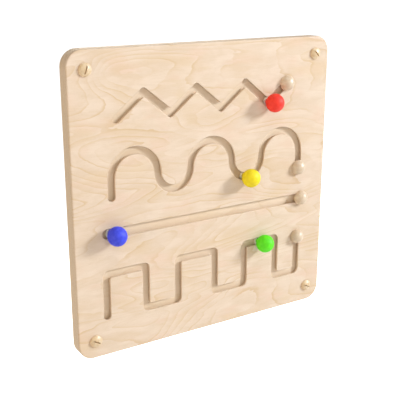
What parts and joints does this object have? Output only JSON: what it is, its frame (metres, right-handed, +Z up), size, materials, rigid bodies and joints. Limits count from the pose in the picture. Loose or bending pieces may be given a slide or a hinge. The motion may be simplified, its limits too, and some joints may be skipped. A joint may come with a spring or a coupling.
{
  "type": "wall groove board with sliding balls",
  "caption": "Square birch plywood wall board with routed grooves in which painted wooden balls slide, domed end plugs and slotted caps over the corner screws.",
  "frame": {"origin": "centre of the board's back face, which lies on the wall", "axes": "+Y into the wall, the balls and grooves face -Y, +Z up, +X to the right as one looks at the board"},
  "size_m": [0.5, 0.1025, 0.5],
  "materials": {
    "birch_plywood": "clear matt lacquer over rotary cut birch, plies showing on the edges",
    "turned_beech": "turned, clear satin lacquer",
    "cap_beech": "turned, clear satin lacquer",
    "red_lacquer": "gloss paint on turned wood",
    "yellow_lacquer": "gloss paint on turned wood",
    "blue_lacquer": "gloss paint on turned wood",
    "green_lacquer": "gloss paint on turned wood",
    "natural_nylon": "smooth turned plastic",
    "zinc_steel": "bright zinc plate"
  },
  "bodies": {
    "board": {"board": "birch_plywood", "zigzag_end_plug": "turned_beech", "wave_end_plug": "turned_beech", "straight_end_plug": "turned_beech", "square_end_plug": "turned_beech", "top_left_wall_screw": "zinc_steel", "top_right_wall_screw": "zinc_steel", "bottom_left_wall_screw": "zinc_steel", "bottom_right_wall_screw": "zinc_steel", "top_left_screw_cap": "cap_beech", "top_right_screw_cap": "cap_beech", "bottom_left_screw_cap": "cap_beech", "bottom_right_screw_cap": "cap_beech"},
    "red_glide": {"red_glide_disc": "natural_nylon"},
    "red_knob": {"red_ball": "red_lacquer", "red_disc_screw": "zinc_steel"},
    "yellow_glide": {"yellow_glide_disc": "natural_nylon"},
    "yellow_knob": {"yellow_ball": "yellow_lacquer", "yellow_disc_screw": "zinc_steel"},
    "blue_glide": {"blue_glide_disc": "natural_nylon"},
    "blue_knob": {"blue_ball": "blue_lacquer", "blue_disc_screw": "zinc_steel"},
    "green_glide": {"green_glide_disc": "natural_nylon"},
    "green_knob": {"green_ball": "green_lacquer", "green_disc_screw": "zinc_steel"}
  },
  "joints": [
    {"name": "red_slide", "type": "slide", "parent": "board", "child": "red_glide", "axis": [0.781, 0, 0.6245], "range_m": [-0.003, 0.022]},
    {"name": "red_spin", "type": "hinge", "parent": "red_glide", "child": "red_knob", "pos_m": [0.12164, -0.025, 0.14307], "axis": [0, -1, 0], "continuous": true},
    {"name": "yellow_swing", "type": "hinge", "parent": "board", "child": "yellow_glide", "pos_m": [0.07595, -0.025, 0.0476], "axis": [0, -1, 0], "range_deg": [-87, 92]},
    {"name": "yellow_spin", "type": "hinge", "parent": "yellow_glide", "child": "yellow_knob", "pos_m": [0.07445, -0.025, 0.01699], "axis": [0, -1, 0], "continuous": true},
    {"name": "blue_slide", "type": "slide", "parent": "board", "child": "blue_glide", "axis": [1, 0, 0], "range_m": [-0.0093, 0.357]},
    {"name": "blue_spin", "type": "hinge", "parent": "blue_glide", "child": "blue_knob", "pos_m": [-0.1835, -0.025, -0.041], "axis": [0, -1, 0], "continuous": true},
    {"name": "green_slide", "type": "slide", "parent": "board", "child": "green_glide", "axis": [1, 0, 0], "range_m": [-0.032, 0.0325]},
    {"name": "green_spin", "type": "hinge", "parent": "green_glide", "child": "green_knob", "pos_m": [0.108, -0.025, -0.109], "axis": [0, -1, 0], "continuous": true}
  ]
}
